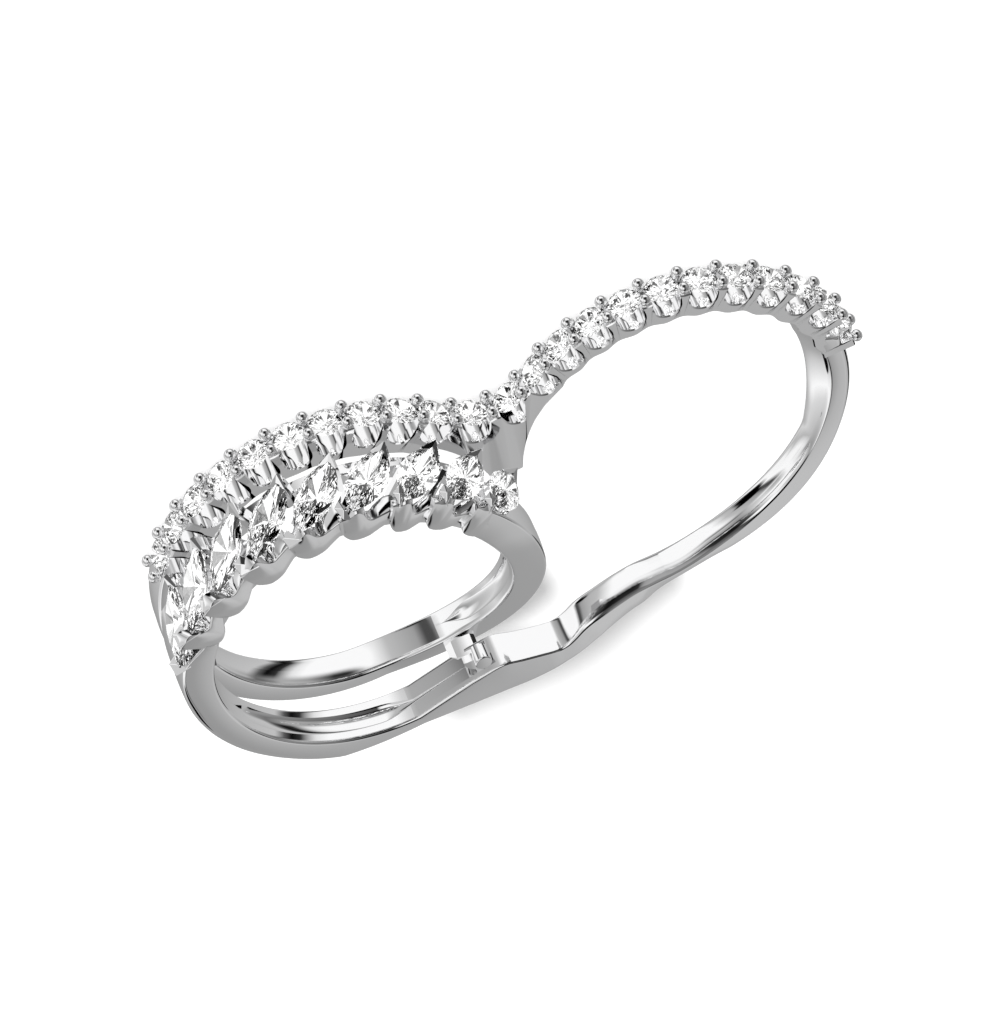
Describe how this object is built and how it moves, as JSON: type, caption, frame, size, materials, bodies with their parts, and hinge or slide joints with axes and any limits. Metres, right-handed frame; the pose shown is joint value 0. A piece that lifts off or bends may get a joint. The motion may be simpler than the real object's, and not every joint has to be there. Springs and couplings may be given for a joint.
{
  "type": "two-finger ring",
  "caption": "Open-work ring for two neighbouring fingers with a wavy row of round stones and a short row of slanted marquise stones.",
  "frame": {"origin": "middle of the ring's box on the plane it rests on, which is the back edge of the band", "axes": "+X from the first finger to the second, +Y from the palm side to the stones, +Z along the fingers, up from the resting plane to the front face"},
  "size_m": [0.042, 0.0212, 0.0079],
  "materials": {
    "white_gold": "mirror-polished",
    "diamond": "faceted and clear"
  },
  "bodies": {
    "root": {"ring_body": "white_gold", "round_stone_01": "diamond", "round_stone_02": "diamond", "round_stone_03": "diamond", "round_stone_04": "diamond", "round_stone_05": "diamond", "round_stone_06": "diamond", "round_stone_07": "diamond", "round_stone_08": "diamond", "round_stone_09": "diamond", "round_stone_10": "diamond", "round_stone_11": "diamond", "round_stone_12": "diamond", "round_stone_13": "diamond", "round_stone_14": "diamond", "round_stone_15": "diamond", "round_stone_16": "diamond", "round_stone_17": "diamond", "round_stone_18": "diamond", "round_stone_19": "diamond", "round_stone_20": "diamond", "round_stone_21": "diamond", "round_stone_22": "diamond", "round_stone_23": "diamond", "marquise_stone_1": "diamond", "marquise_stone_2": "diamond", "marquise_stone_3": "diamond", "marquise_stone_4": "diamond", "marquise_stone_5": "diamond", "marquise_stone_6": "diamond", "marquise_stone_7": "diamond", "marquise_stone_8": "diamond", "marquise_stone_9": "diamond"}
  },
  "joints": []
}
